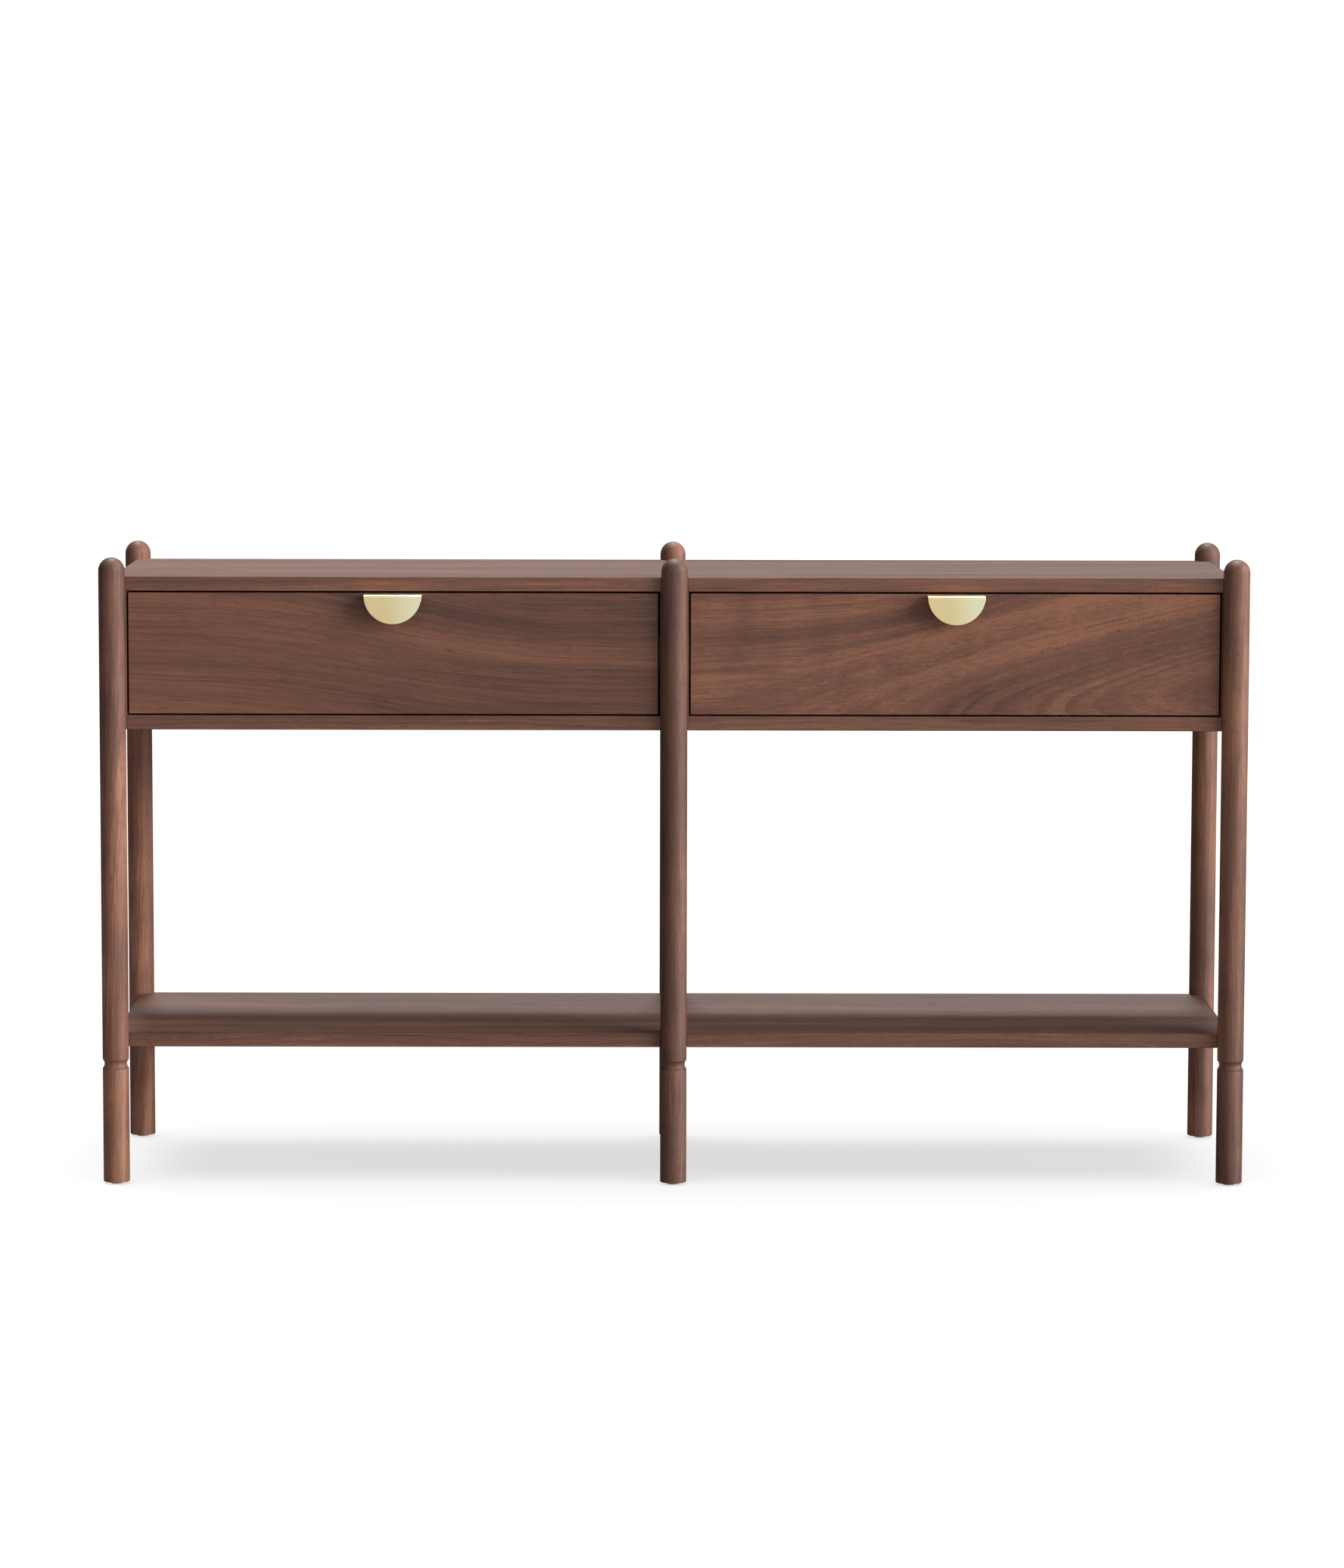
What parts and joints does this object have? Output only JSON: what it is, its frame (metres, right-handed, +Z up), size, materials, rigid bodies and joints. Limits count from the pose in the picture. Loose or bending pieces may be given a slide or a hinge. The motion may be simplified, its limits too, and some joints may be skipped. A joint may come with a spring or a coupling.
{
  "type": "console table",
  "caption": "Long narrow console table: round posts with domed tops carry a case with side-by-side drawers and half-round pulls above an open low shelf.",
  "frame": {"origin": "on the floor, midway between the corner posts (the pulls stand 8.5 mm further forward than the front posts)", "axes": "+X to the right seen from the drawer side, +Y towards the back, +Z up; the drawers open towards -Y"},
  "size_m": [1.52, 0.4085, 0.836],
  "materials": {
    "walnut": "satin lacquered walnut veneer and turned wood",
    "drawer_box_wood": "clear lacquered birch",
    "dowel_wood": "plain beech dowel",
    "satin_brass": "pale satin brass",
    "zinc_steel": "black zinc plated",
    "glide_plastic": "moulded grey nylon"
  },
  "bodies": {
    "frame": {"post_front_left": "walnut", "post_front_center": "walnut", "post_front_right": "walnut", "post_rear_left": "walnut", "post_rear_center": "walnut", "post_rear_right": "walnut", "foot_front_left": "walnut", "foot_front_center": "walnut", "foot_front_right": "walnut", "foot_rear_left": "walnut", "foot_rear_center": "walnut", "foot_rear_right": "walnut", "foot_glides": "glide_plastic", "foot_studs": "zinc_steel", "foot_inserts": "zinc_steel", "top_board": "walnut", "bottom_board": "walnut", "side_board_left": "walnut", "side_board_right": "walnut", "divider_board_left": "walnut", "divider_board_right": "walnut", "back_panel_left": "walnut", "back_panel_right": "walnut", "shelf": "walnut", "case_dowels": "dowel_wood", "post_dowels": "dowel_wood", "post_screws": "zinc_steel", "rail_left_bay_left": "zinc_steel", "rail_left_bay_right": "zinc_steel", "rail_right_bay_left": "zinc_steel", "rail_right_bay_right": "zinc_steel", "rail_screws": "zinc_steel"},
    "sliders_left": {"slider_left_bay_left": "zinc_steel", "slider_left_bay_right": "zinc_steel"},
    "sliders_right": {"slider_right_bay_left": "zinc_steel", "slider_right_bay_right": "zinc_steel"},
    "drawer_left": {"drawer_left_front": "walnut", "drawer_left_side_left": "drawer_box_wood", "drawer_left_side_right": "drawer_box_wood", "drawer_left_back": "drawer_box_wood", "drawer_left_bottom": "drawer_box_wood", "drawer_left_dowels": "dowel_wood", "drawer_left_pull": "satin_brass", "drawer_left_pull_screws": "zinc_steel", "drawer_left_runner_left": "zinc_steel", "drawer_left_runner_right": "zinc_steel", "drawer_left_runner_screws": "zinc_steel"},
    "drawer_right": {"drawer_right_front": "walnut", "drawer_right_side_left": "drawer_box_wood", "drawer_right_side_right": "drawer_box_wood", "drawer_right_back": "drawer_box_wood", "drawer_right_bottom": "drawer_box_wood", "drawer_right_dowels": "dowel_wood", "drawer_right_pull": "satin_brass", "drawer_right_pull_screws": "zinc_steel", "drawer_right_runner_left": "zinc_steel", "drawer_right_runner_right": "zinc_steel", "drawer_right_runner_screws": "zinc_steel"}
  },
  "joints": [
    {"name": "drawer_left_slide", "type": "slide", "parent": "frame", "child": "drawer_left", "axis": [0, -1, 0], "range_m": [0, 0.3]},
    {"name": "sliders_left_travel", "type": "slide", "parent": "frame", "child": "sliders_left", "axis": [0, -1, 0], "range_m": [0, 0.15]},
    {"name": "drawer_right_slide", "type": "slide", "parent": "frame", "child": "drawer_right", "axis": [0, -1, 0], "range_m": [0, 0.3]},
    {"name": "sliders_right_travel", "type": "slide", "parent": "frame", "child": "sliders_right", "axis": [0, -1, 0], "range_m": [0, 0.15]}
  ],
  "couplings": [
    {"joint": "sliders_left_travel", "follows": "drawer_left_slide", "ratio": 0.5},
    {"joint": "sliders_right_travel", "follows": "drawer_right_slide", "ratio": 0.5}
  ]
}
